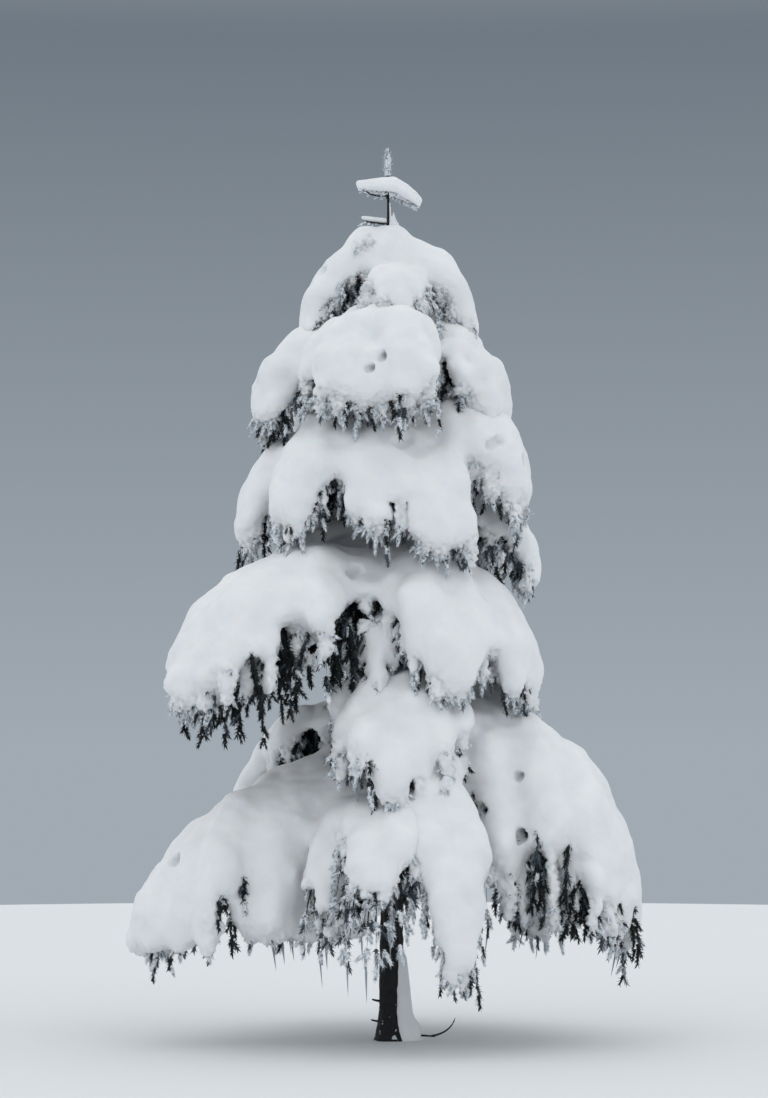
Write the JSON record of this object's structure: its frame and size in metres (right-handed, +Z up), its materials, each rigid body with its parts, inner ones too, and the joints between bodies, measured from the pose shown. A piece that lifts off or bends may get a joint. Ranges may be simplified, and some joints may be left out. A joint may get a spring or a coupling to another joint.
{
  "type": "norway spruce tree",
  "caption": "Young conifer standing alone, its drooping boughs buried in thick lobed pads of snow over dark needles, with a bare trunk foot and a slim leader.",
  "frame": {"origin": "middle of the flat cut through the trunk's foot, level with the snow on the ground", "axes": "+Z up along the trunk, +X to the right of the picture's view, -Y towards that view"},
  "size_m": [2.7558, 2.2815, 4.9],
  "materials": {
    "bark": "rough",
    "needles": "matte",
    "snow": "matte"
  },
  "bodies": {
    "root": {"trunk": "bark", "limb_1_left": "bark", "limb_1_back_right": "bark", "limb_1_back_left": "bark", "limb_2_right": "bark", "limb_2_front_right": "bark", "limb_2_low_right": "bark", "limb_2_back": "bark", "limb_3_left": "bark", "limb_3_back": "bark", "limb_6_front": "bark", "limb_6_small_left": "bark", "limb_6_small_right": "bark", "needles_1_left": "needles", "needles_1_front_left": "needles", "needles_1_front": "needles", "needles_1_back_right": "needles", "needles_1_back_left": "needles", "needles_2_right": "needles", "needles_2_front_right": "needles", "needles_2_front": "needles", "needles_2_back": "needles", "needles_2_back_left": "needles", "needles_3_left": "needles", "needles_3_front_left": "needles", "needles_3_front_right": "needles", "needles_3_right": "needles", "needles_3_back_right": "needles", "needles_3_back": "needles", "needles_3_back_left": "needles", "needles_4_left": "needles", "needles_4_front_left": "needles", "needles_4_front": "needles", "needles_4_front_right": "needles", "needles_4_right": "needles", "needles_4_low_right": "needles", "needles_4_back_right": "needles", "needles_4_back_left": "needles", "needles_5_left": "needles", "needles_5_front": "needles", "needles_5_right": "needles", "needles_5_back_right": "needles", "needles_5_back_left": "needles", "needles_6_left": "needles", "needles_6_right": "needles", "needles_6_back": "needles", "needles_leader": "needles", "snow_whorl_1": "snow", "snow_whorl_2": "snow", "snow_whorl_3": "snow", "snow_whorl_4": "snow", "snow_whorl_5": "snow", "snow_whorl_6": "snow", "snow_cap": "snow", "snow_collar": "snow", "snow_foot": "snow"}
  },
  "joints": []
}
